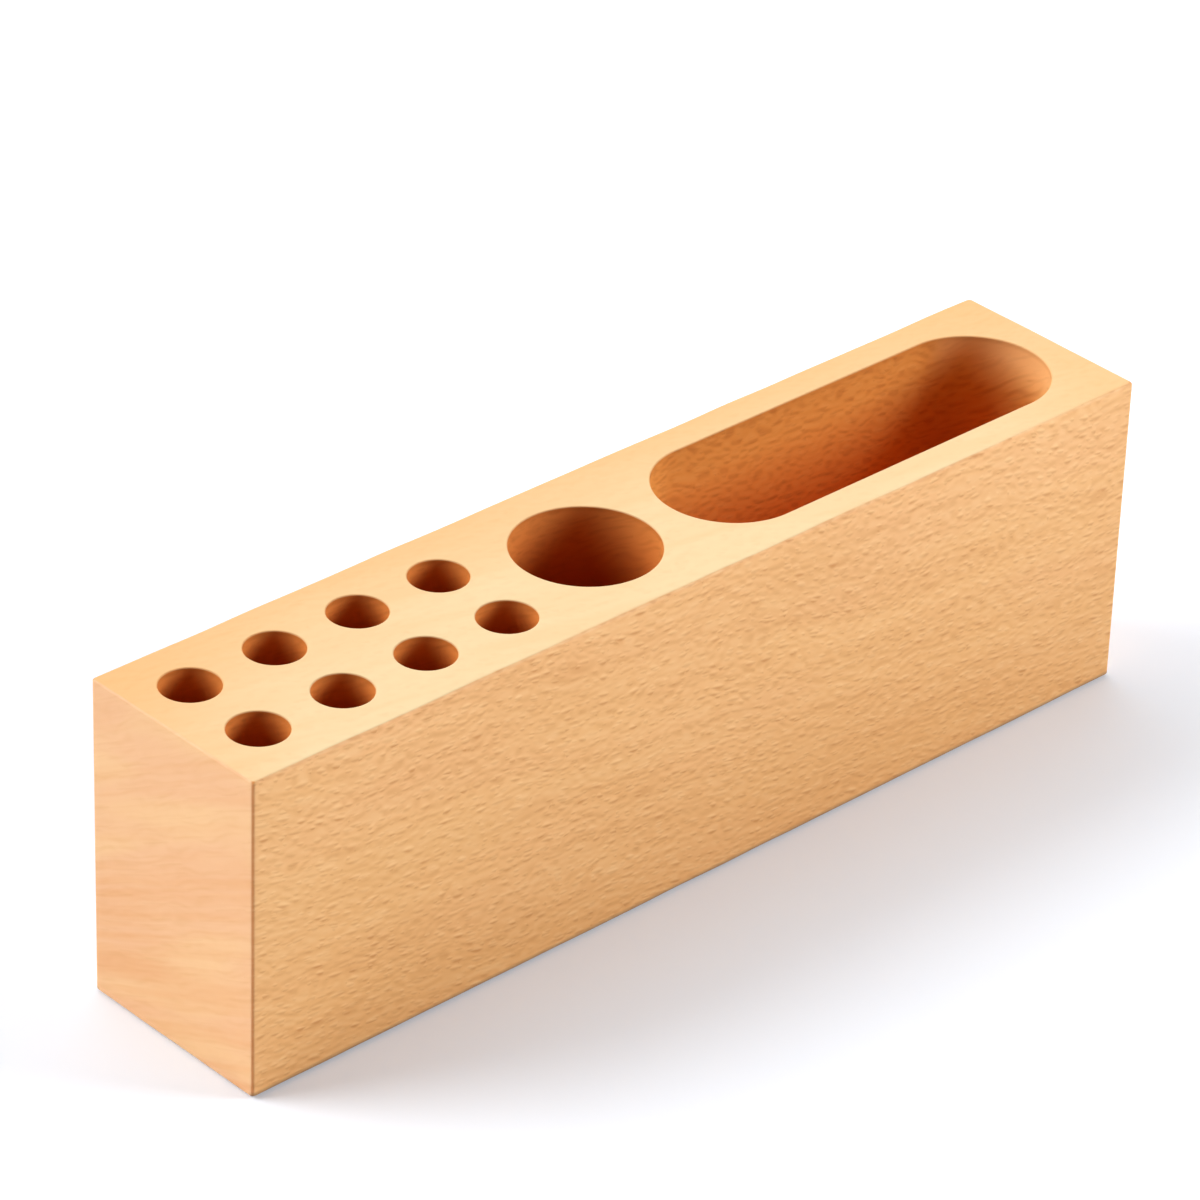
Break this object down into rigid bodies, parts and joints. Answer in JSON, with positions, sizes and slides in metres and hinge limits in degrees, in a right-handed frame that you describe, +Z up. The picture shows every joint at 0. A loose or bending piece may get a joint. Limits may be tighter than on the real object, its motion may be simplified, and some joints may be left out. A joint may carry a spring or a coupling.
{
  "type": "wooden pen holder",
  "caption": "Long beech desk block with round pen bores, a wide round well and a long round-ended slot sunk into its top, standing on thin non-slip pads.",
  "frame": {"origin": "on the desk under the middle of the block, level with the undersides of the pads", "axes": "+X along the grain from the pen bores towards the slot, -Y out of the front face, +Z up out of the pockets"},
  "size_m": [0.25, 0.05, 0.0754],
  "materials": {
    "beech": "sanded steamed beech with a thin clear satin oil",
    "pad_rubber": "matt dark brown rubber"
  },
  "bodies": {
    "root": {"beech_block": "beech", "pad_front_left": "pad_rubber", "pad_front_right": "pad_rubber", "pad_back_left": "pad_rubber", "pad_back_right": "pad_rubber"}
  },
  "joints": []
}
